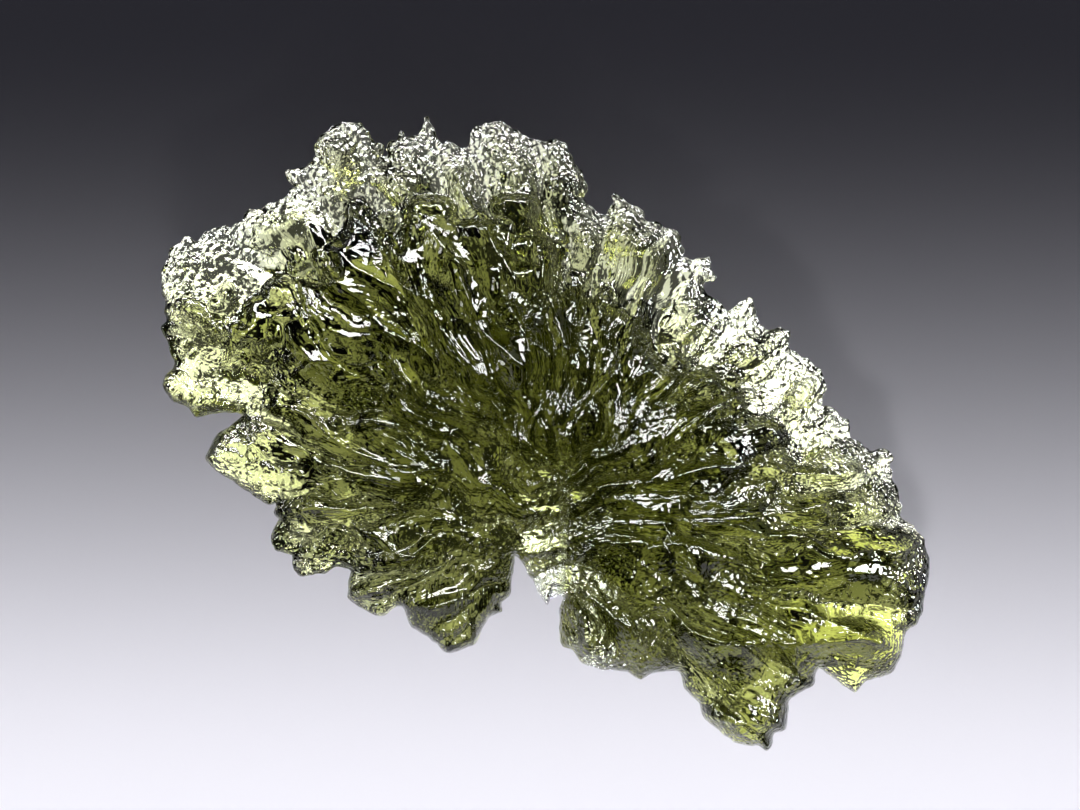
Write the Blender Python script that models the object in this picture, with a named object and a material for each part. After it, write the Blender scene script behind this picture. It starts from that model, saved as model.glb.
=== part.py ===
# Moldavite: one fan-shaped, deeply furrowed piece of natural green glass, lying on its back.
# It is modelled in millimetres and scaled to metres: +X to the right, +Y to the crown, +Z up.

import bmesh
import bpy
import numpy as np
from mathutils import Vector
from mathutils.geometry import delaunay_2d_cdt
from mathutils.kdtree import KDTree

for old in list(bpy.data.objects):
    bpy.data.objects.remove(old, do_unlink=True)

MM = 0.001

# Driving dimensions, in mm
LENGTH = 37.4            # across the fan, left tip to right end
PLUMP = 6.2              # thickness of the middle, before the furrows
SHELF = 3.2              # thickness just inside the ledge
CROWN_EDGE = 1.5         # thickness of the thin fringe outside the ledge, along the crown
LEFT_EDGE = 2.8          # thickness along the lower rim, at the left end
RIGHT_EDGE = 4.4         # thickness along the rest of the lower rim
RIM = 0.35               # height of the rim's own narrow side
ROUNDING = 1.8           # how far in the lower rim is rounded over
BEVEL = 1.3              # how far in the crown's fringe thins to its edge
MIDDLE = 3.9             # height of the middle surface above the ground
LIFT = 1.2               # how far the right of the step stands proud, and the left of it lies low
DROOP = 1.5              # how far the lower right end hangs
RISE = 1.0               # how far the left end and the crown rise
FURROW = 2.2             # depth of the broad furrows
RIB = 1.0                # height of the ribs between and across them
WORN = (0.4, -1.6)       # middle of the worn spot that it rests on
WORN_REACH = 5.0
WORN_DEPTH = 1.5

# The step: right of this line the glass stands proud, and the furrows run out from it
STEP_TOP = (0.95, -1.2)
STEP_FOOT = (0.62, -7.9)

# Furrows around the whole stone: (count around, length over width, seed), coarse near the step
INNER_FURROWS = (18, 3.0, 21)
OUTER_FURROWS = (40, 3.4, 22)
INNER_RIBS = (22, 4.6, 31)
OUTER_RIBS = (46, 4.6, 32)
BACK_SEED = 500

RIM_POINTS = 230         # points around the rim
SPACING = 0.60           # between points inside it
STEP_GAP = 0.2           # from the step's line to the points either side of it

# The rim, clockwise from the left shoulder, seen from the front
LEFT_SHOULDER = [
    (-17.7, 9.6), (-17.3, 9.7), (-16.9, 9.5), (-16.6, 9.9), (-15.6, 10.2), (-15.3, 10.0), (-14.4, 10.8),
    (-12.6, 11.6), (-12.4, 11.9),
]
CROWN = [
    (-12.1, 12.0), (-12.7, 12.6), (-12.5, 12.9), (-11.5, 13.0), (-11.0, 14.6), (-9.6, 15.1), (-9.1, 15.1),
    (-8.1, 14.1), (-7.9, 13.5), (-7.7, 14.0), (-7.1, 14.7), (-6.8, 14.5), (-6.3, 14.7), (-5.8, 15.5),
    (-5.1, 14.1), (-4.9, 14.3), (-3.9, 14.0), (-3.6, 14.9), (-2.1, 15.2), (-1.0, 14.5), (-0.1, 14.2),
    (0.4, 14.3), (0.9, 14.1), (1.7, 12.8), (1.9, 12.0), (1.8, 11.5), (2.2, 11.2), (2.4, 10.8),
]
RIGHT_SHOULDER = [
    (2.8, 10.8), (3.3, 11.7), (4.6, 11.0), (4.8, 10.5), (6.2, 10.0), (6.6, 9.1), (6.5, 8.6), (6.9, 8.5),
    (8.0, 8.7), (8.1, 7.6), (7.7, 7.3), (7.8, 6.8), (8.6, 6.4), (8.8, 6.1), (9.8, 6.7),
]
RIGHT_FLANK = [
    (10.3, 5.5), (11.1, 5.1), (11.8, 5.2), (11.9, 4.9), (11.6, 4.2), (13.3, 3.3), (13.6, 2.7), (13.3, 1.4),
    (13.8, 1.3), (14.7, 0.7), (14.7, -0.1), (15.7, -0.7), (16.4, -0.7),
]
RIGHT_END = [
    (16.8, -1.1), (16.7, -1.6), (17.1, -2.7), (17.3, -3.9), (18.4, -5.1), (18.7, -6.6), (18.2, -9.1),
    (17.6, -9.6),
]
LOWER_RIGHT = [(17.0, -11.5), (15.6, -12.0), (15.0, -12.6), (13.3, -11.4)]
LOWER_TIP = [
    (13.0, -12.2), (11.9, -12.9), (11.7, -14.4), (11.1, -14.6), (11.0, -15.1), (10.7, -15.5), (10.3, -15.2),
    (9.1, -15.0), (7.7, -13.8),
]
LOWER_EDGE = [
    (7.4, -13.1), (6.7, -12.4), (6.4, -11.5), (5.2, -11.5), (4.5, -11.9), (3.9, -11.5), (2.4, -11.3),
    (1.7, -11.0), (1.2, -10.4), (0.6, -10.0),
]
BAY = [
    (0.6, -8.3), (0.8, -7.8), (0.2, -8.0), (-0.1, -8.3), (-1.2, -6.2), (-1.6, -5.9), (-1.8, -7.7),
    (-2.2, -8.2),
]
LEFT_LOBE = [
    (-2.2, -8.6), (-2.9, -8.9), (-3.5, -10.2), (-4.9, -10.6), (-5.8, -9.8), (-6.6, -9.4), (-7.0, -8.4),
    (-7.3, -8.3), (-7.9, -8.8), (-8.4, -8.8), (-9.7, -7.9),
]
LOWER_LEFT = [
    (-9.6, -6.6), (-10.2, -6.4), (-10.8, -6.7), (-12.0, -6.9), (-12.4, -6.4), (-12.4, -5.8), (-13.2, -5.6),
    (-13.5, -4.9), (-13.0, -4.1), (-13.3, -3.8), (-13.2, -3.3), (-13.7, -3.3), (-16.5, -1.3),
]
LEFT_NOTCH = [(-16.0, 0.0), (-14.7, 1.0)]
LEFT_END = [
    (-15.8, 1.1), (-17.0, 0.9), (-17.4, 1.4), (-18.2, 1.7), (-18.6, 2.4), (-18.5, 2.9), (-18.0, 3.5),
    (-18.7, 5.2), (-18.4, 5.6), (-18.7, 7.3), (-18.3, 8.8),
]
RIM_CLOCKWISE = (LEFT_SHOULDER + CROWN + RIGHT_SHOULDER + RIGHT_FLANK + RIGHT_END + LOWER_RIGHT + LOWER_TIP
                 + LOWER_EDGE + BAY + LEFT_LOBE + LOWER_LEFT + LEFT_NOTCH + LEFT_END)


def ease(value):
    """Smooth step: 0 below 0, 1 above 1, with level ends."""
    value = np.clip(value, 0, 1)
    return value * value * (3 - 2 * value)


def closed_curve(points, count):
    """Smooth closed curve through the points, as `count` points evenly spaced along its length."""
    steps = np.linspace(0, 1, 12, endpoint=False)[:, None, None]
    before, here = np.roll(points, 1, 0), points
    after, beyond = np.roll(points, -1, 0), np.roll(points, -2, 0)
    leave, arrive = (after - before) / 4, (beyond - here) / 4
    curve = ((2 * steps**3 - 3 * steps**2 + 1) * here + (steps**3 - 2 * steps**2 + steps) * leave
             + (3 * steps**2 - 2 * steps**3) * after + (steps**3 - steps**2) * arrive)
    curve = curve.transpose(1, 0, 2).reshape(-1, 2)
    curve = np.concatenate([curve, curve[:1]])
    run = np.concatenate([[0], np.cumsum(np.hypot(*np.diff(curve, axis=0).T))])
    wanted = np.linspace(0, run[-1], count, endpoint=False)
    return np.stack([np.interp(wanted, run, curve[:, 0]), np.interp(wanted, run, curve[:, 1])], 1)


def scatter(column, row, seed):
    """Two steady random numbers from 0 to 1 for each square of a lattice."""
    mixed = (column * 374761393 + row * 668265263 + seed * 974634777) & 0xFFFFFFFF
    mixed = ((mixed ^ (mixed >> 13)) * 1274126177) & 0xFFFFFFFF
    mixed = ((mixed ^ (mixed >> 15)) * 2246822519) & 0xFFFFFFFF
    return (mixed & 0xFFFF) / 65535, (mixed >> 16) / 65535


def swell(x, y, seed):
    """Smooth uneven waves from -1 to 1, one unit of x or y from crest to crest."""
    column, row = np.floor(x).astype(np.int64), np.floor(y).astype(np.int64)
    across, up = ease(x - column), ease(y - row)
    low = scatter(column, row, seed)[0] * (1 - across) + scatter(column + 1, row, seed)[0] * across
    high = scatter(column, row + 1, seed)[0] * (1 - across) + scatter(column + 1, row + 1, seed)[0] * across
    return 2 * (low * (1 - up) + high * up) - 1


def bowls(along, around, count, seed):
    """Squared distance to the nearest of a scatter of centres, one a square, wrapping after `count`."""
    column, row = np.floor(along).astype(np.int64), np.floor(around).astype(np.int64)
    nearest = np.full(along.shape, 9.0)
    for i in (-1, 0, 1):
        for j in (-1, 0, 1):
            first, second = scatter(column + i, (row + j) % count, seed)
            over = column + i + 0.05 + 0.9 * first - along
            up = row + j + 0.05 + 0.9 * second - around
            nearest = np.minimum(nearest, over**2 + up**2)
    return nearest


def step_distance(x, y):
    """Distance from the step's line."""
    top, foot = np.array(STEP_TOP), np.array(STEP_FOOT)
    down = foot - top
    share = np.clip(((x - top[0]) * down[0] + (y - top[1]) * down[1]) / (down @ down), 0, 1)
    return np.hypot(x - top[0] - share * down[0], y - top[1] - share * down[1])


def flow(x, y, bend, size, seed):
    """How far out from the step, and which way round it in turns: curves confocal with its two ends."""
    across = bend * (swell(x / size, y / size, seed) + 0.4 * swell(x / size * 2.3, y / size * 2.3, seed + 1))
    along = bend * (swell(x / size, y / size, seed + 2) + 0.4 * swell(x / size * 2.3, y / size * 2.3, seed + 3))
    free = ease(step_distance(x, y) / 2)
    top, foot = complex(*STEP_TOP), complex(*STEP_FOOT)
    place = x + across * free + 1j * (y + along * free)
    turned = np.arccosh((place - (top + foot) / 2) / ((top - foot) / 2))
    return turned.real, turned.imag / (2 * np.pi) + 0.5


def furrows(out, turn, pattern, seed):
    """Long bowls that run outward, with sharp crests between them, 0 in the bottoms and about 1 on crests."""
    count, slenderness, own_seed = pattern
    return bowls(out * count / (2 * np.pi * slenderness), turn * count, count, own_seed + seed)


def relief(x, y, inset, seed):
    """Height of the furrowed skin over the plump body."""
    out, turn = flow(x, y, 1.0, 4.0, seed + 16)
    outer = ease((out - 0.9) / 0.9)
    broad = (furrows(out, turn, INNER_FURROWS, seed) * (1 - outer)
             + furrows(out, turn, OUTER_FURROWS, seed) * outer)
    out, turn = flow(x, y, 0.8, 2.6, seed + 56)
    bumps = (furrows(out, turn, INNER_RIBS, seed) * (1 - outer)
             + furrows(out, turn, OUTER_RIBS, seed) * outer)
    ribs = np.sqrt(np.clip(1 - 2.7 * bumps, 0, 1))
    skin = FURROW * (np.minimum(broad, 0.9) - 0.3) + RIB * (ribs - 0.5)
    return skin * (0.5 + 0.5 * ease(inset / 2.2))


def half_thickness(x, y, inset, seed):
    """Half the stone's thickness: a thin fringe, a ragged ledge, then a plump middle, all furrowed."""
    ragged = 1.2 * swell(x / 1.8, y / 1.8, 5) + 0.7 * swell(x / 0.7, y / 0.7, 6)
    crown = ease((y + 0.35 * x + 4) / 8)
    ledge = ease((inset + ragged - 1.0 - 1.5 * crown) / 1.6)
    lower_edge = LEFT_EDGE + (RIGHT_EDGE - LEFT_EDGE) * ease((x + 11) / 6)
    edge = lower_edge + (CROWN_EDGE - lower_edge) * crown
    shelf = np.maximum(SHELF, edge)
    plump = edge + (shelf - edge) * ledge + (PLUMP - shelf) * ledge * ease(inset / 9)
    over = np.sqrt(1 - (1 - np.clip(inset / ROUNDING, 0, 1)) ** 2)
    over += (np.clip(inset / BEVEL, 0, 1) - over) * crown
    return RIM / 2 + over * np.maximum(plump / 2 + relief(x, y, inset, seed) - RIM / 2, RIM / 2)


def middle(x, y):
    """Height of the middle surface: it winds down around the step's top, and tilts from end to end."""
    down = np.degrees(np.arctan2(STEP_FOOT[1] - STEP_TOP[1], STEP_FOOT[0] - STEP_TOP[0]))
    bearing = np.degrees(np.arctan2(y - STEP_TOP[1], x - STEP_TOP[0]))
    turn = ((bearing - down) % 360) / 360
    reach = np.hypot(x - STEP_TOP[0], y - STEP_TOP[1])
    wound = LIFT * np.cos(np.pi * turn) * ease(reach / 2.5) * (1 - ease((reach - 7) / 9))
    slanting = 0.75 * x - 0.66 * y
    return MIDDLE + wound - DROOP * ease((slanting - 7) / 10) + RISE * ease((-slanting - 4) / 12)


def inner_points(rim, spacing):
    """Points of a triangular lattice inside the rim, and a row down each side of the step."""
    rows = []
    after = np.roll(rim, -1, 0)
    for number, y in enumerate(np.arange(rim[:, 1].min(), rim[:, 1].max(), spacing * np.sqrt(3) / 2)):
        crosses = (rim[:, 1] > y) != (after[:, 1] > y)
        start, end = rim[crosses], after[crosses]
        edges = np.sort(start[:, 0] + (y - start[:, 1]) / (end[:, 1] - start[:, 1]) * (end[:, 0] - start[:, 0]))
        x = np.arange(rim[:, 0].min(), rim[:, 0].max(), spacing) + spacing / 2 * (number % 2)
        x = x[np.searchsorted(edges, x) % 2 == 1]
        rows.append(np.stack([x, np.full(len(x), y)], 1))
    lattice = np.concatenate(rows)
    lattice = lattice[step_distance(*lattice.T) > spacing / 2 + STEP_GAP / 2]
    down = np.arange(0, 1, spacing / (STEP_TOP[1] - STEP_FOOT[1]))[:, None]
    line = np.array(STEP_TOP) + down * (np.array(STEP_FOOT) - np.array(STEP_TOP))
    return np.concatenate([lattice, line - (STEP_GAP, 0), line + (STEP_GAP, 0)])


def insets(points, rim_points):
    """Distance of each point from the rim."""
    dense = closed_curve(rim_points, 4000)
    tree = KDTree(len(dense))
    for number, (x, y) in enumerate(dense.tolist()):
        tree.insert((x, y, 0), number)
    tree.balance()
    return np.array([tree.find((x, y, 0))[2] for x, y in points.tolist()])


def stone_mesh():
    """The front and the back, each one sheet of triangles over the same outline, joined by the rim."""
    outline = np.array(RIM_CLOCKWISE[::-1])
    outline = outline * LENGTH / np.ptp(outline[:, 0])
    rim = closed_curve(outline, RIM_POINTS)
    inside = inner_points(rim, SPACING)
    inset = insets(inside, outline)
    keep = inset > SPACING / 2
    inside, inset = inside[keep], inset[keep]
    points = np.concatenate([rim, inside])
    inset = np.concatenate([np.zeros(RIM_POINTS), inset])
    edges = [(i, (i + 1) % RIM_POINTS) for i in range(RIM_POINTS)]
    flat = [Vector(point) for point in points.tolist()]
    triangles = np.array(delaunay_2d_cdt(flat, edges, [], 1, 1e-6)[2])

    x, y = points.T
    centre = middle(x, y)
    front = centre + half_thickness(x, y, inset, 0)
    worn = WORN_DEPTH * np.exp(-((x - WORN[0]) ** 2 + (y - WORN[1]) ** 2) / WORN_REACH**2)
    back = np.maximum(centre - half_thickness(x, y, inset, BACK_SEED) - worn, 0)

    count = len(points)
    vertices = np.concatenate([np.stack([x, y, front], 1), np.stack([x, y, back], 1)])
    side = [(i, i + count, (i + 1) % RIM_POINTS + count, (i + 1) % RIM_POINTS) for i in range(RIM_POINTS)]
    faces = triangles.tolist() + (triangles[:, ::-1] + count).tolist() + side
    vertices[:, :2] -= (vertices[:, :2].min(0) + vertices[:, :2].max(0)) / 2
    vertices[:, 2] -= vertices[:, 2].min()

    mesh = bpy.data.meshes.new("moldavite")
    mesh.from_pydata((vertices * MM).tolist(), [], faces)
    shell = bmesh.new()
    shell.from_mesh(mesh)
    bmesh.ops.triangulate(shell, faces=[face for face in shell.faces if len(face.verts) > 3])
    bmesh.ops.recalc_face_normals(shell, faces=shell.faces)
    shell.to_mesh(mesh)
    shell.free()
    return mesh


# Tektite glass: clear olive green, glossy, and darker where it is thick
glass = bpy.data.materials.new("green_glass")
glass.use_nodes = True
shader = glass.node_tree.nodes["Principled BSDF"]
shader.inputs["Base Color"].default_value = (0.29, 0.31, 0.10, 1)
shader.inputs["Roughness"].default_value = 0.08
shader.inputs["Metallic"].default_value = 0
shader.inputs["IOR"].default_value = 1.49
shader.inputs["Transmission Weight"].default_value = 0.8

stone = bpy.data.objects.new("moldavite", stone_mesh())
stone.data.materials.append(glass)
stone.data.shade_smooth()
stone.data.set_sharp_from_angle(angle=np.radians(35))
bpy.context.scene.collection.objects.link(stone)
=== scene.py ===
import math

import bpy
import numpy as np
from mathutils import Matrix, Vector
from mathutils.geometry import delaunay_2d_cdt


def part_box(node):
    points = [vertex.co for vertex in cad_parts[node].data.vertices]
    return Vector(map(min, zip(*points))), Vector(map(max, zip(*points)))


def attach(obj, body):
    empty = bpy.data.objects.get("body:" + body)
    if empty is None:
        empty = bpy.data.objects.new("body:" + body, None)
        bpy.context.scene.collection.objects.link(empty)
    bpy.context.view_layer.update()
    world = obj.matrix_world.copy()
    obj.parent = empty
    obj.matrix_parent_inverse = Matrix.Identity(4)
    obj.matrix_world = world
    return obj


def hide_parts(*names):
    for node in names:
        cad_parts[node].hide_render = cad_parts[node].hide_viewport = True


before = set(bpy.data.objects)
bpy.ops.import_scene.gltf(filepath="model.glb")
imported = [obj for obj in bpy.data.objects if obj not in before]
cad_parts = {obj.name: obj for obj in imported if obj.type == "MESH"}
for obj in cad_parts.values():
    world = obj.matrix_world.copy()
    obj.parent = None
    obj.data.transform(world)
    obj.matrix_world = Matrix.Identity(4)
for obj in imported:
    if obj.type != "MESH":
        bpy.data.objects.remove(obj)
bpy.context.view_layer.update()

# Camera. The stone lies on its back, so the photograph's level view of its face becomes a view
# straight down, with the crown at the top of the picture.
MM = 0.001
PHOTO_WIDTH = 1080
PHOTO_PIXELS_PER_MM = 20.6            # at the stone
CAMERA_HEIGHT = 250 * MM
STONE_PLANE = 4 * MM
VIEW_CENTRE = (-0.34 * MM, 1.46 * MM)  # the picture's middle, from the stone's middle
SENSOR = 36                           # its width in mm
NEAREST_SEEN = 10 * MM

lens = bpy.data.cameras.new("camera")
lens.sensor_width = SENSOR
lens.lens = SENSOR * (CAMERA_HEIGHT - STONE_PLANE) / (PHOTO_WIDTH / PHOTO_PIXELS_PER_MM * MM)
lens.clip_start = NEAREST_SEEN
camera = bpy.data.objects.new("camera", lens)
camera.location = (*VIEW_CENTRE, CAMERA_HEIGHT)
bpy.context.scene.collection.objects.link(camera)
bpy.context.scene.camera = camera

# Moldavite: one solid piece of natural green glass, shaped like an open fan. Acids in the ground
# ate long furrows into it, which run out from a step in its face and leave sharp ribs between.
STEP_TOP = (0.95, -1.2)               # in mm; right of this line the glass stands proud
STEP_FOOT = (0.62, -7.9)
STEP_GAP = 0.2                        # from the step's line to the points on each side of it
PLUMP = 6.2                           # thickness of the middle
PLUMP_REACH = 9                       # how far in from the rim it is reached
SHELF = 3.2                           # thickness just inside the ledge
CROWN_EDGE = 1.5                      # thickness of the fringe outside the ledge
LEFT_EDGE, RIGHT_EDGE = 2.8, 4.4      # thickness of the lower edge at the left and the right
EDGE_START, EDGE_SPAN = -11, 6        # where it starts to thicken, and over how many mm
RIM = 0.35                            # thickness of the very edge
ROUNDING = 1.8                        # how far in the rim rounds over
BEVEL = 1.3                           # how far in the crown's fringe thins to its edge
LEDGE_INSET, CROWN_LEDGE_INSET = 1.0, 1.5   # how far in the ledge runs, and how much more on the crown
LEDGE_SLOPE = 1.6                     # how wide its slope is
LEDGE_WAVES = ((1.8, 1.2, 5), (0.7, 0.7, 6))   # size, strength, seed
CROWN_SLANT = 0.35                    # the crown falls away to the right
CROWN_START, CROWN_SPAN = -4, 8       # where the crown begins, and over how many mm
MIDDLE = 3.9                          # height of the middle surface
LIFT = 1.2                            # how far it winds up and down around the step's top
LIFT_START, LIFT_END, LIFT_FADE = 2.5, 7, 9
SLANT = (0.75, -0.66)                 # toward the lower right end
DROOP, DROOP_START, DROOP_SPAN = 1.5, 7, 10   # how far that end hangs
RISE, RISE_START, RISE_SPAN = 1.0, 4, 12      # how far the left end and the crown rise
FURROW = 2.2                          # heights of the four kinds of carving, in mm
RIB = 1.0
GROOVE = 0.15
PIT = 0.30
PIT_SIZE = 0.36                       # from one pit to the next
RIB_SHARPNESS = 2.7
FURROW_TOP = 0.9                      # crests are cut off at this share of a furrow's height
HOLLOW_BELOW = 1.2                    # where furrow and rib add up to less, the skin is hollow
BOWL_LEVEL, RIB_LEVEL = 0.3, 0.5      # taken off, so that the skin is carved as much as it is raised
RIM_FURROWS, RIM_FURROWS_REACH = 0.5, 2.2   # furrows are this much shallower at the rim
# how strong the pits are in each part of the skin
PITTED = {"everywhere": 0.1, "furrows": 0.9, "rim": 0.8, "step": 0.6}
PITTED_RIM_REACH = 3
THIN_REACH = 1.5                      # this near the rim the skin counts as hollow too
WORN = (0.4, -1.6)                    # middle of the spot worn off the back
WORN_REACH = 5.0
WORN_DEPTH = 1.5
INNER_FURROWS = (18, 3.0, 21)         # count around, length over width, seed
OUTER_FURROWS = (40, 3.4, 22)
INNER_RIBS = (22, 4.6, 31)
OUTER_RIBS = (46, 4.6, 32)
INNER_GROOVES = (80, 5.0, 41)
OUTER_GROOVES = (170, 5.0, 42)
OUTER_START, OUTER_SPAN = 0.9, 0.9    # how far out, by flow's measure, the outer counts take over
BROAD_BENDS = (1.0, 4.0, 16)          # how far the furrows bend, how long the bends are, seed
FINE_BENDS = (0.8, 2.6, 56)
SECOND_BENDS = (2.3, 0.4)             # how many times as fine as the first, and as strong
STRAIGHT_REACH = 2                    # beside the step nothing bends
PIT_SEED = 51
BACK_SEED = 500
LOBE = (-4.4, -8.4, 2.6)              # x, y and reach of the smooth lobe left of the bay
FIBROUS_PATCHES = ((-12.0, 9.0, 2.6), (5.0, 7.3, 2.5), LOBE)
RIM_WAVES = ((0.45, 1.0, 7), (0.2, 0.6, 8))    # size, strength, seed
RIM_ROUGHNESS, CROWN_ROUGHNESS = 0.05, 0.09
RIM_POINTS = 900
FINE_RIM_POINTS = 3 * RIM_POINTS
CURVE_STEPS = 12
FRONT_SPACING = 0.118
BACK_SPACING = 0.165
SAME_PLACE = 1e-6                     # points closer than this are one
UNWRAPPED = 100000                    # more squares than the stone spans
FAR_OFF = 9.0                         # squared, in squares; every centre is nearer
CENTRE_START, CENTRE_SPAN = 0.05, 0.9   # a centre keeps a little inside its square
DISTANCE_PARTS = 40                   # of the points, one after the other

# The rim in mm, clockwise from the left shoulder
left_shoulder = [
    (-17.7, 9.6), (-17.3, 9.7), (-16.9, 9.5), (-16.6, 9.9), (-15.6, 10.2), (-15.3, 10.0), (-14.4, 10.8),
    (-12.6, 11.6), (-12.4, 11.9),
]
crown = [
    (-12.1, 12.0), (-12.7, 12.6), (-12.5, 12.9), (-11.5, 13.0), (-11.0, 14.6), (-9.6, 15.1), (-9.1, 15.1),
    (-8.1, 14.1), (-7.9, 13.5), (-7.7, 14.0), (-7.1, 14.7), (-6.8, 14.5), (-6.3, 14.7), (-5.8, 15.5),
    (-5.1, 14.1), (-4.9, 14.3), (-3.9, 14.0), (-3.6, 14.9), (-2.1, 15.2), (-1.0, 14.5), (-0.1, 14.2),
    (0.4, 14.3), (0.9, 14.1), (1.7, 12.8), (1.9, 12.0), (1.8, 11.5), (2.2, 11.2), (2.4, 10.8),
]
right_shoulder = [
    (2.8, 10.8), (3.3, 11.7), (4.6, 11.0), (4.8, 10.5), (6.2, 10.0), (6.6, 9.1), (6.5, 8.6), (6.9, 8.5),
    (8.0, 8.7), (8.1, 7.6), (7.7, 7.3), (7.8, 6.8), (8.6, 6.4), (8.8, 6.1), (9.8, 6.7),
]
right_flank = [
    (10.3, 5.5), (11.1, 5.1), (11.8, 5.2), (11.9, 4.9), (11.6, 4.2), (13.3, 3.3), (13.6, 2.7), (13.3, 1.4),
    (13.8, 1.3), (14.7, 0.7), (14.7, -0.1), (15.7, -0.7), (16.4, -0.7),
]
right_end = [
    (16.8, -1.1), (16.7, -1.6), (17.1, -2.7), (17.3, -3.9), (18.4, -5.1), (18.7, -6.6), (18.2, -9.1),
    (17.6, -9.6),
]
lower_right = [(17.0, -11.5), (15.6, -12.0), (15.0, -12.6), (13.3, -11.4)]
lower_tip = [
    (13.0, -12.2), (11.9, -12.9), (11.7, -14.4), (11.1, -14.6), (11.0, -15.1), (10.7, -15.5), (10.3, -15.2),
    (9.1, -15.0), (7.7, -13.8),
]
lower_edge = [
    (7.4, -13.1), (6.7, -12.4), (6.4, -11.5), (5.2, -11.5), (4.5, -11.9), (3.9, -11.5), (2.4, -11.3),
    (1.7, -11.0), (1.2, -10.4), (0.6, -10.0),
]
bay = [
    (0.6, -8.3), (0.8, -7.8), (0.2, -8.0), (-0.1, -8.3), (-1.2, -6.2), (-1.6, -5.9), (-1.8, -7.7),
    (-2.2, -8.2),
]
left_lobe = [
    (-2.2, -8.6), (-2.9, -8.9), (-3.5, -10.2), (-4.9, -10.6), (-5.8, -9.8), (-6.6, -9.4), (-7.0, -8.4),
    (-7.3, -8.3), (-7.9, -8.8), (-8.4, -8.8), (-9.7, -7.9),
]
lower_left = [
    (-9.6, -6.6), (-10.2, -6.4), (-10.8, -6.7), (-12.0, -6.9), (-12.4, -6.4), (-12.4, -5.8), (-13.2, -5.6),
    (-13.5, -4.9), (-13.0, -4.1), (-13.3, -3.8), (-13.2, -3.3), (-13.7, -3.3), (-16.5, -1.3),
]
left_notch = [(-16.0, 0.0), (-14.7, 1.0)]
left_end = [
    (-15.8, 1.1), (-17.0, 0.9), (-17.4, 1.4), (-18.2, 1.7), (-18.6, 2.4), (-18.5, 2.9), (-18.0, 3.5),
    (-18.7, 5.2), (-18.4, 5.6), (-18.7, 7.3), (-18.3, 8.8),
]
rim_clockwise = (left_shoulder + crown + right_shoulder + right_flank + right_end + lower_right + lower_tip
                 + lower_edge + bay + left_lobe + lower_left + left_notch + left_end)


def ease(value):
    """Smooth step: 0 below 0, 1 above 1, with level ends."""
    value = np.clip(value, 0, 1)
    return value * value * (3 - 2 * value)


def closed_curve(points, count):
    """Cubic through each point, heading along the line between its neighbours, spaced evenly by length."""
    steps = np.linspace(0, 1, CURVE_STEPS, endpoint=False)[:, None, None]
    before, here = np.roll(points, 1, 0), points
    after, beyond = np.roll(points, -1, 0), np.roll(points, -2, 0)
    leave, arrive = (after - before) / 4, (beyond - here) / 4
    curve = ((2 * steps**3 - 3 * steps**2 + 1) * here + (steps**3 - 2 * steps**2 + steps) * leave
             + (3 * steps**2 - 2 * steps**3) * after + (steps**3 - steps**2) * arrive)
    curve = curve.transpose(1, 0, 2).reshape(-1, 2)
    curve = np.concatenate([curve, curve[:1]])
    run = np.concatenate([[0], np.cumsum(np.hypot(*np.diff(curve, axis=0).T))])
    wanted = np.linspace(0, run[-1], count, endpoint=False)
    return np.stack([np.interp(wanted, run, curve[:, 0]), np.interp(wanted, run, curve[:, 1])], 1)


def scatter(column, row, seed):
    """Two steady random numbers from 0 to 1 for each square of a lattice, from its numbers' mixed bits."""
    mixed = (column * 374761393 + row * 668265263 + seed * 974634777) & 0xFFFFFFFF
    mixed = ((mixed ^ (mixed >> 13)) * 1274126177) & 0xFFFFFFFF
    mixed = ((mixed ^ (mixed >> 15)) * 2246822519) & 0xFFFFFFFF
    return (mixed & 0xFFFF) / 65535, (mixed >> 16) / 65535


def swell(x, y, seed):
    """Smooth uneven waves from -1 to 1: random heights at whole numbers, eased between."""
    column, row = np.floor(x).astype(np.int64), np.floor(y).astype(np.int64)
    across, up = ease(x - column), ease(y - row)
    low = scatter(column, row, seed)[0] * (1 - across) + scatter(column + 1, row, seed)[0] * across
    high = scatter(column, row + 1, seed)[0] * (1 - across) + scatter(column + 1, row + 1, seed)[0] * across
    return 2 * (low * (1 - up) + high * up) - 1


def bowls(along, around, count, seed):
    """Squared distance to the nearest centre: one is scattered in each square, in `count` rows that wrap."""
    column, row = np.floor(along).astype(np.int64), np.floor(around).astype(np.int64)
    nearest = np.full(along.shape, FAR_OFF)
    for i in (-1, 0, 1):
        for j in (-1, 0, 1):
            first, second = scatter(column + i, (row + j) % count, seed)
            over = column + i + CENTRE_START + CENTRE_SPAN * first - along
            up = row + j + CENTRE_START + CENTRE_SPAN * second - around
            nearest = np.minimum(nearest, over**2 + up**2)
    return nearest


def waves(x, y, layers):
    """Layers of smooth uneven waves, added up."""
    return sum(strength * swell(x / size, y / size, seed) for size, strength, seed in layers)


def crown_share(x, y):
    """0 low on the stone, easing to 1 along the crown."""
    return ease((y + CROWN_SLANT * x - CROWN_START) / CROWN_SPAN)


def roughen(rim):
    """The rim pushed in and out along its normals by fine waves, most along the crown."""
    x, y = rim.T
    along = np.roll(rim, -1, 0) - np.roll(rim, 1, 0)
    outward = np.stack([along[:, 1], -along[:, 0]], 1) / np.hypot(*along.T)[:, None]
    push = waves(x, y, RIM_WAVES) * (RIM_ROUGHNESS + CROWN_ROUGHNESS * crown_share(x, y))
    return rim + outward * push[:, None]


def step_distance(x, y):
    """Distance from the step's line."""
    top, foot = np.array(STEP_TOP), np.array(STEP_FOOT)
    down = foot - top
    share = np.clip(((x - top[0]) * down[0] + (y - top[1]) * down[1]) / (down @ down), 0, 1)
    return np.hypot(x - top[0] - share * down[0], y - top[1] - share * down[1])


def bending(x, y, size, seed):
    """Smooth uneven waves of one size, with finer and weaker ones on them."""
    fineness, strength = SECOND_BENDS
    second = swell(x / size * fineness, y / size * fineness, seed + 1)
    return swell(x / size, y / size, seed) + strength * second


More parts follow.
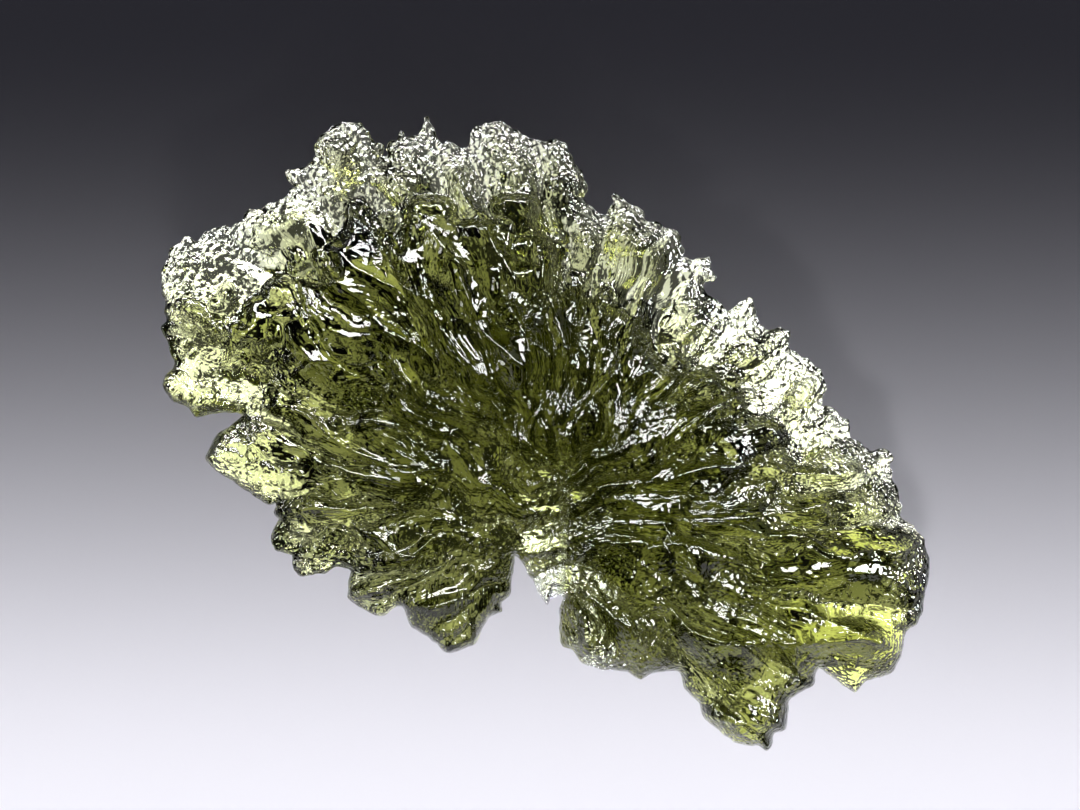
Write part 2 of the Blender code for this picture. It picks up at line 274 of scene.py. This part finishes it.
def flow(x, y, bends, seed):
    """How far out from the step, and which way round it: a complex inverse hyperbolic cosine."""
    bend, size, own_seed = bends
    across = bend * bending(x, y, size, seed + own_seed)
    along = bend * bending(x, y, size, seed + own_seed + 2)
    free = ease(step_distance(x, y) / STRAIGHT_REACH)
    top, foot = complex(*STEP_TOP), complex(*STEP_FOOT)
    place = x + across * free + 1j * (y + along * free)
    turned = np.arccosh((place - (top + foot) / 2) / ((top - foot) / 2))
    return turned.real, turned.imag / (2 * np.pi) + 0.5


def furrows(out, turn, outer, patterns, seed):
    """Long bowls that run outward, 0 in the bottoms, about 1 on the crests, denser further out."""
    inner, further = (bowls(out * count / (2 * np.pi * slenderness), turn * count, count, own_seed + seed)
                      for count, slenderness, own_seed in patterns)
    return inner * (1 - outer) + further * outer


def patch_share(x, y, *patches):
    """1 in the middle of each round patch, fading outward to 0."""
    shares = [np.exp(-((x - across) ** 2 + (y - up) ** 2) / reach**2) for across, up, reach in patches]
    return np.maximum.reduce(shares)


def relief(x, y, inset, seed):
    """Height of the furrowed skin over the plump body, and how deep in a furrow each point is."""
    out, turn = flow(x, y, BROAD_BENDS, seed)
    outer = ease((out - OUTER_START) / OUTER_SPAN)
    broad = furrows(out, turn, outer, (INNER_FURROWS, OUTER_FURROWS), seed)
    out, turn = flow(x, y, FINE_BENDS, seed)
    bumps = furrows(out, turn, outer, (INNER_RIBS, OUTER_RIBS), seed)
    ribs = np.sqrt(np.clip(1 - RIB_SHARPNESS * bumps, 0, 1))
    grooves = furrows(out, turn, outer, (INNER_GROOVES, OUTER_GROOVES), seed)
    hollow = np.clip(HOLLOW_BELOW - ribs - broad, 0, 1)
    pits = bowls(x / PIT_SIZE, y / PIT_SIZE, UNWRAPPED, seed + PIT_SEED)
    pitted = (PITTED["everywhere"] + PITTED["furrows"] * hollow
              + PITTED["rim"] * ease(1 - inset / PITTED_RIM_REACH) + PITTED["step"] * ease(1 - out))
    pitted = pitted * (1 - patch_share(x, y, *FIBROUS_PATCHES))
    coarse = FURROW * (np.minimum(broad, FURROW_TOP) - BOWL_LEVEL) + RIB * (ribs - RIB_LEVEL)
    coarse = coarse * (1 - RIM_FURROWS + RIM_FURROWS * ease(inset / RIM_FURROWS_REACH))
    fine = (GROOVE * (grooves - BOWL_LEVEL) * (1 - patch_share(x, y, LOBE))
            + PIT * (pits - BOWL_LEVEL) * pitted)
    return coarse + fine, hollow


def half_thickness(x, y, inset, seed):
    """Half the stone's thickness: a thin fringe, a ragged ledge, then a plump middle, all furrowed."""
    crown = crown_share(x, y)
    ragged = inset + waves(x, y, LEDGE_WAVES)
    ledge = ease((ragged - LEDGE_INSET - CROWN_LEDGE_INSET * crown) / LEDGE_SLOPE)
    lower_edge = LEFT_EDGE + (RIGHT_EDGE - LEFT_EDGE) * ease((x - EDGE_START) / EDGE_SPAN)
    edge = lower_edge + (CROWN_EDGE - lower_edge) * crown
    shelf = np.maximum(SHELF, edge)
    plump = edge + (shelf - edge) * ledge + (PLUMP - shelf) * ledge * ease(inset / PLUMP_REACH)
    skin, hollow = relief(x, y, inset, seed)
    over = np.sqrt(1 - (1 - np.clip(inset / ROUNDING, 0, 1)) ** 2)
    over += (np.clip(inset / BEVEL, 0, 1) - over) * crown
    half = RIM / 2 + over * np.maximum(plump / 2 + skin - RIM / 2, RIM / 2)
    return half, hollow, crown * (1 - ledge)


def middle(x, y):
    """Height of the middle surface: it winds down around the step's top, and tilts from end to end."""
    down = np.degrees(np.arctan2(STEP_FOOT[1] - STEP_TOP[1], STEP_FOOT[0] - STEP_TOP[0]))
    bearing = np.degrees(np.arctan2(y - STEP_TOP[1], x - STEP_TOP[0]))
    turn = ((bearing - down) % 360) / 360
    reach = np.hypot(x - STEP_TOP[0], y - STEP_TOP[1])
    wound = LIFT * np.cos(np.pi * turn) * ease(reach / LIFT_START)
    wound = wound * (1 - ease((reach - LIFT_END) / LIFT_FADE))
    slanting = SLANT[0] * x + SLANT[1] * y
    droop = DROOP * ease((slanting - DROOP_START) / DROOP_SPAN)
    rise = RISE * ease((-slanting - RISE_START) / RISE_SPAN)
    return MIDDLE + wound - droop + rise


def inner_points(rim, spacing):
    """Triangular lattice inside the rim, by each row's crossings, and a row down each side of the step."""
    rows = []
    after = np.roll(rim, -1, 0)
    rows_y = np.arange(rim[:, 1].min(), rim[:, 1].max(), spacing * np.sqrt(3) / 2)
    for number, y in enumerate(rows_y):
        crosses = (rim[:, 1] > y) != (after[:, 1] > y)
        start, end = rim[crosses], after[crosses]
        share = (y - start[:, 1]) / (end[:, 1] - start[:, 1])
        edges = np.sort(start[:, 0] + share * (end[:, 0] - start[:, 0]))
        x = np.arange(rim[:, 0].min(), rim[:, 0].max(), spacing) + spacing / 2 * (number % 2)
        x = x[np.searchsorted(edges, x) % 2 == 1]
        rows.append(np.stack([x, np.full(len(x), y)], 1))
    lattice = np.concatenate(rows)
    lattice = lattice[step_distance(*lattice.T) > spacing / 2 + STEP_GAP / 2]
    down = np.arange(0, 1, spacing / (STEP_TOP[1] - STEP_FOOT[1]))[:, None]
    line = np.array(STEP_TOP) + down * (np.array(STEP_FOOT) - np.array(STEP_TOP))
    return np.concatenate([lattice, line - (STEP_GAP, 0), line + (STEP_GAP, 0)])


def insets(points, rim):
    """Distance of each point from the nearest of the rim's points, a part at a time to spare memory."""
    parts = np.array_split(points, DISTANCE_PARTS)
    near = [(np.subtract.outer(part[:, 0], rim[:, 0]) ** 2
             + np.subtract.outer(part[:, 1], rim[:, 1]) ** 2).min(1) for part in parts]
    return np.sqrt(np.concatenate(near))


def sheet(rim, fine_rim, spacing, side, seed):
    """One face of the stone: points, triangles, and how hollow and how crusted each point is."""
    inside = inner_points(rim, spacing)
    inset = insets(inside, fine_rim)
    keep = inset > spacing / 2
    points = np.concatenate([rim, inside[keep]])
    inset = np.concatenate([np.zeros(len(rim)), inset[keep]])
    edges = np.stack([np.arange(len(rim)), np.roll(np.arange(len(rim)), -1)], 1)
    triangles = np.array(delaunay_2d_cdt(points.tolist(), edges.tolist(), [], 1, SAME_PLACE)[2])
    x, y = points.T
    half, hollow, crust = half_thickness(x, y, inset, seed)
    worn = WORN_DEPTH * np.exp(-((x - WORN[0]) ** 2 + (y - WORN[1]) ** 2) / WORN_REACH**2)
    if side > 0:
        z = middle(x, y) + half
    else:
        z = np.maximum(middle(x, y) - half - worn, 0)
        triangles = triangles[:, ::-1]
    thin = np.exp(-inset / THIN_REACH)
    return np.stack([x, y, z], 1), triangles, np.maximum(hollow, thin), crust


outline = np.array(rim_clockwise[::-1])
low_corner, high_corner = (np.array(corner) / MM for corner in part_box("moldavite"))
outline = outline * (high_corner[0] - low_corner[0]) / np.ptp(outline[:, 0])
rim = roughen(closed_curve(outline, RIM_POINTS))
fine_rim = roughen(closed_curve(outline, FINE_RIM_POINTS))
front, front_triangles, *front_skin = sheet(rim, fine_rim, FRONT_SPACING, 1, 0)
back, back_triangles, *back_skin = sheet(rim, fine_rim, BACK_SPACING, -1, BACK_SEED)
points = np.concatenate([front, back])
around = np.arange(RIM_POINTS)
onward = (around + 1) % RIM_POINTS
side_quads = np.stack([around, around + len(front), onward + len(front), onward], 1)
points[:, :2] -= (points[:, :2].min(0) + points[:, :2].max(0)) / 2
points[:, :2] = np.clip(points[:, :2], low_corner[:2], high_corner[:2])
points[:, 2] = np.minimum(points[:, 2], high_corner[2])

mesh = bpy.data.meshes.new("stone")
mesh.from_pydata((points * MM).tolist(), [],
                 front_triangles.tolist() + (back_triangles + len(front)).tolist() + side_quads.tolist())
mesh.shade_smooth()
for name, front_values, back_values in zip(("hollow", "crust"), front_skin, back_skin):
    values = np.concatenate([front_values, back_values]).astype(np.float32)
    mesh.attributes.new(name, "FLOAT", "POINT").data.foreach_set("value", values)
corners = np.empty(len(mesh.loops), np.int32)
mesh.loops.foreach_get("vertex_index", corners)
out, turn = flow(points[:, 0], points[:, 1], FINE_BENDS, 0)
fibre_map = mesh.uv_layers.new(name="fibres")
fibre_map.data.foreach_set("uv", np.stack([out, turn], 1)[corners].ravel().astype(np.float32))
for name, patches in (("fibrous", FIBROUS_PATCHES), ("lobe", (LOBE,))):
    values = patch_share(points[:, 0], points[:, 1], *patches).astype(np.float32)
    mesh.attributes.new(name, "FLOAT", "POINT").data.foreach_set("value", values)
stone = bpy.data.objects.new("stone", mesh)
bpy.context.scene.collection.objects.link(stone)


class Wire:
    """A shader socket that can be added to, taken from and multiplied, each by one Math node."""

    def __init__(self, tree, socket):
        self.tree, self.socket = tree, socket

    def combine(self, operation, first, second):
        """The result of one Math node on two wires or numbers."""
        return add_node(self.tree, "ShaderNodeMath", {"operation": operation}, {0: first, 1: second})

    def __add__(self, other):
        return self.combine("ADD", self, other)

    def __sub__(self, other):
        return self.combine("SUBTRACT", self, other)

    def __rsub__(self, other):
        return self.combine("SUBTRACT", other, self)

    def __mul__(self, other):
        return self.combine("MULTIPLY", self, other)

    __radd__ = __add__
    __rmul__ = __mul__


def add_node(tree, kind, settings=None, values=None, output=0):
    """A node of this kind: its settings first, then the values or wires of its sockets."""
    node = tree.nodes.new(kind)
    for name, value in (settings or {}).items():
        setattr(node, name, value)
    for name, value in (values or {}).items():
        if isinstance(value, Wire):
            tree.links.new(value.socket, node.inputs[name])
        else:
            node.inputs[name].default_value = value
    return Wire(tree, node.outputs[output])


IOR = 1.49
GLASS_DENSITY = 800                   # absorption's scale, per metre
LOSSES = (0.372, 0.36, 0.65)          # of red, green and blue, per mm
CLEAN = (0.955, 0.98, 0.955, 1)
STAINED = (0.89, 0.86, 0.77, 1)       # faintly rusty, in patches of the furrows
STAIN = 0.4
ROUGHNESS, FURROW_ROUGHNESS = 0.02, 0.03
FIBRE_COUNTS = (110, 300)             # around the step, near it and further out
FIBRES_START, FIBRES_END = 0.9, 1.7   # how far out, by flow's measure, the second count takes over
FIBRE_BREAKS = 5                      # along each fibre, for each 1 of flow's measure
LOBE_FIBRES = (4500, 700, 500)        # per metre: on the lobe they hang down
SMALL_PITS = 3400                     # per metre
PATCHES = 700                         # per metre
PATCH_EDGES = (0.38, 0.62)            # of the noise: no patch below, full patch above
# how strong the small pits are in each part of the skin
FINE_PITTED = {"everywhere": 0.1, "furrows": 0.9, "step": 0.5, "crust": 0.2, "crust patches": 1.2}
EXTRA_FIBRES, FEWER_PITS = 0.4, 0.9   # on the fibrous patches
SKIN_DEPTH = 0.09 * MM

glass = bpy.data.materials.new("green_glass")
glass.use_nodes = True
tree = glass.node_tree
shader = tree.nodes["Principled BSDF"]
shader.inputs["IOR"].default_value = IOR
shader.inputs["Transmission Weight"].default_value = 1
absorption = tree.nodes.new("ShaderNodeVolumeAbsorption")
absorption.inputs["Color"].default_value = (*(1 - loss / MM / GLASS_DENSITY for loss in LOSSES), 1)
absorption.inputs["Density"].default_value = GLASS_DENSITY
tree.links.new(absorption.outputs[0], tree.nodes["Material Output"].inputs["Volume"])


def point_share(name):
    """One of the mesh's point attributes, from 0 to 1."""
    return add_node(tree, "ShaderNodeAttribute", {"attribute_name": name}, output=2)


def noise(places, scale=1.0):
    """Smooth noise with one finer layer."""
    return add_node(tree, "ShaderNodeTexNoise", values={"Vector": places, "Scale": scale, "Detail": 1.0})


def stretched(places, scale):
    """The places, scaled by a different number along each axis."""
    return add_node(tree, "ShaderNodeMapping", values={"Vector": places, "Scale": scale})


def ramp(value, low, high):
    """0 up to the low value, 1 from the high value on."""
    return add_node(tree, "ShaderNodeMapRange", values={"Value": value, "From Min": low, "From Max": high})


on_stone = add_node(tree, "ShaderNodeTexCoord", output=3)   # Object coordinates
along_fibres = add_node(tree, "ShaderNodeUVMap", {"uv_map": "fibres"})
outward = add_node(tree, "ShaderNodeSeparateXYZ", values={"Vector": along_fibres})
outer_share = ramp(outward, FIBRES_START, FIBRES_END)
inner_fibres, outer_fibres = (noise(stretched(along_fibres, (FIBRE_BREAKS, count, 1)))
                              for count in FIBRE_COUNTS)
fibres = inner_fibres * (1 - outer_share) + outer_fibres * outer_share
lobe = point_share("lobe")
fibres = fibres * (1 - lobe) + noise(stretched(on_stone, LOBE_FIBRES)) * lobe
small_pits = add_node(tree, "ShaderNodeTexVoronoi", values={"Vector": on_stone, "Scale": SMALL_PITS})
patchy = ramp(noise(on_stone, PATCHES), *PATCH_EDGES)
hollow, crust, fibrous = (point_share(name) for name in ("hollow", "crust", "fibrous"))
pitted = (FINE_PITTED["everywhere"] + FINE_PITTED["furrows"] * hollow
          + FINE_PITTED["step"] * (1 - outer_share)
          + (FINE_PITTED["crust"] + FINE_PITTED["crust patches"] * patchy) * crust)
height = (1 + EXTRA_FIBRES * fibrous) * fibres + small_pits * pitted * (1 - FEWER_PITS * fibrous)
bump = add_node(tree, "ShaderNodeBump", values={"Height": height, "Strength": 1.0, "Distance": SKIN_DEPTH})
# a Mix node's sockets for colours: 0 is the factor, 6 and 7 the two colours, and output 2 the result
mixing = {0: hollow * (1 - patchy) * STAIN, 6: CLEAN, 7: STAINED}
surface = add_node(tree, "ShaderNodeMix", {"data_type": "RGBA"}, mixing, output=2)
tree.links.new(surface.socket, shader.inputs["Base Color"])
tree.links.new((ROUGHNESS + FURROW_ROUGHNESS * hollow).socket, shader.inputs["Roughness"])
tree.links.new(bump.socket, shader.inputs["Normal"])
mesh.materials.append(glass)
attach(stone, "root")
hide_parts("moldavite")

# Floor. Plain pale paper, wide enough to fill every view, just under the stone. Light that the
# glass has bent passes it, so the glass shows the soft cards that lie underneath.
FLOOR_HALF = 600 * MM
FLOOR_DROP = 0.05 * MM
PAPER = (0.80, 0.79, 0.86, 1)

floor_mesh = bpy.data.meshes.new("floor")
floor_corners = [(side * FLOOR_HALF, end * FLOOR_HALF, -FLOOR_DROP)
                 for side, end in ((-1, -1), (1, -1), (1, 1), (-1, 1))]
floor_mesh.from_pydata(floor_corners, [], [(0, 1, 2, 3)])
paper = bpy.data.materials.new("paper")
paper.use_nodes = True
paper_shader = paper.node_tree.nodes["Principled BSDF"]
paper_shader.inputs["Base Color"].default_value = PAPER
paper_shader.inputs["Roughness"].default_value = 1.0
paper_shader.inputs["Specular IOR Level"].default_value = 0.0
floor_mesh.materials.append(paper)
floor = bpy.data.objects.new("floor", floor_mesh)
bpy.context.scene.collection.objects.link(floor)
floor.visible_transmission = False


# Lights. A long low soft box in front of the stone, which fades toward the back, and soft cards
# that only the glass sees: three around the stone, and the others under it for the back light.
FRONT_PLACE, FRONT_AIM = (4, -67, 62), (4, -18, 0)   # in mm
FRONT_SIZE, FRONT_SPREAD = (450, 13.5), 27   # in mm, and in degrees
FAR_FRONT_SIZE, FAR_FRONT_SPREAD = (450, 200), 30
ALL_ROUND = 180
STONE_MIDDLE = (0, 0, 3)
WHITE = (1, 1, 1)
BLUISH = (0.9, 0.9, 2.0)              # whitens the glow of the thin glass in the bay
DIM_ROOM = (0.027, 0.027, 0.032, 1)
MOST_BOUNCES = 10
GLOSSY_BOUNCES = 6
DIFFUSE_BOUNCES = 2


def soft_box(name, place, aim, size, brightness, spread, tint=WHITE):
    """Rectangular light of even brightness: its power is pi times brightness times area."""
    width, height = size[0] * MM, size[1] * MM
    light = bpy.data.lights.new(name, "AREA")
    light.shape = "RECTANGLE"
    light.size, light.size_y = width, height
    light.energy = brightness * math.pi * width * height
    light.color = tint
    light.spread = math.radians(spread)
    box = bpy.data.objects.new(name, light)
    box.location = Vector(place) * MM
    box.rotation_euler = (Vector(aim) - Vector(place)).to_track_quat("-Z", "Y").to_euler()
    box.visible_camera = False
    bpy.context.scene.collection.objects.link(box)
    return box


def card(name, place, size, brightness, aim=STONE_MIDDLE, tint=WHITE):
    """Soft box that shines all round and leaves the paper as it is."""
    soft_box(name, place, aim, size, brightness, ALL_ROUND, tint).visible_diffuse = False


def glow_card(name, place, size, brightness, tint=WHITE):
    """Small card close under one part of the stone, facing straight up."""
    card(name, place, size, brightness, (place[0], place[1], 0), tint)


# places, aims and sizes are in mm, and the brightness follows the size
soft_box("front_fill", FRONT_PLACE, FRONT_AIM, FRONT_SIZE, 1.75, FRONT_SPREAD).data.use_shadow = False
soft_box("front_light", FRONT_PLACE, FRONT_AIM, FRONT_SIZE, 0.65, FRONT_SPREAD)
soft_box("far_front_light", (4, -132, 60), (4, -132, 0), FAR_FRONT_SIZE, 1.1, FAR_FRONT_SPREAD)
card("back_card", (0, 72, 44), (120, 30), 31)
card("right_card", (82, 10, 38), (50, 24), 43)
card("left_card", (-82, 10, 36), (40, 24), 12)
card("under_card", (18, 14, -80), (42, 50), 1.1, aim=(18, 14, 0))
card("under_front_card", (-15, -66, -80), (110, 50), 0.8)
card("under_wide_card", (0, 0, -90), (260, 200), 0.08)
glow_card("left_glow_card", (-15.2, 1.2, -9), (10, 7), 2.4)
glow_card("bay_glow_card", (-0.5, -7.2, -1), (2.8, 3), 24, BLUISH)
glow_card("right_glow_card", (14.8, -10.4, -3), (4, 3), 4.6)
glow_card("tip_glow_card", (10.5, -13.5, -8), (5, 5), 2)
glow_card("flank_glow_card", (11.2, 2.2, -8), (8.5, 7), 1.9)
glow_card("shoulder_glow_card", (-12, 8, -8), (5, 4), 0.8)
glow_card("lobe_glow_card", (-4.3, -9.8, -8), (6, 4), 0.8)
world = bpy.data.worlds.new("studio")
world.use_nodes = True
world.node_tree.nodes["Background"].inputs["Color"].default_value = DIM_ROOM
scene = bpy.context.scene
scene.world = world
scene.view_settings.view_transform = "Standard"
scene.cycles.use_denoising = True
scene.cycles.caustics_refractive = False
scene.cycles.max_bounces = MOST_BOUNCES
scene.cycles.transmission_bounces = MOST_BOUNCES
scene.cycles.glossy_bounces = GLOSSY_BOUNCES
scene.cycles.diffuse_bounces = DIFFUSE_BOUNCES
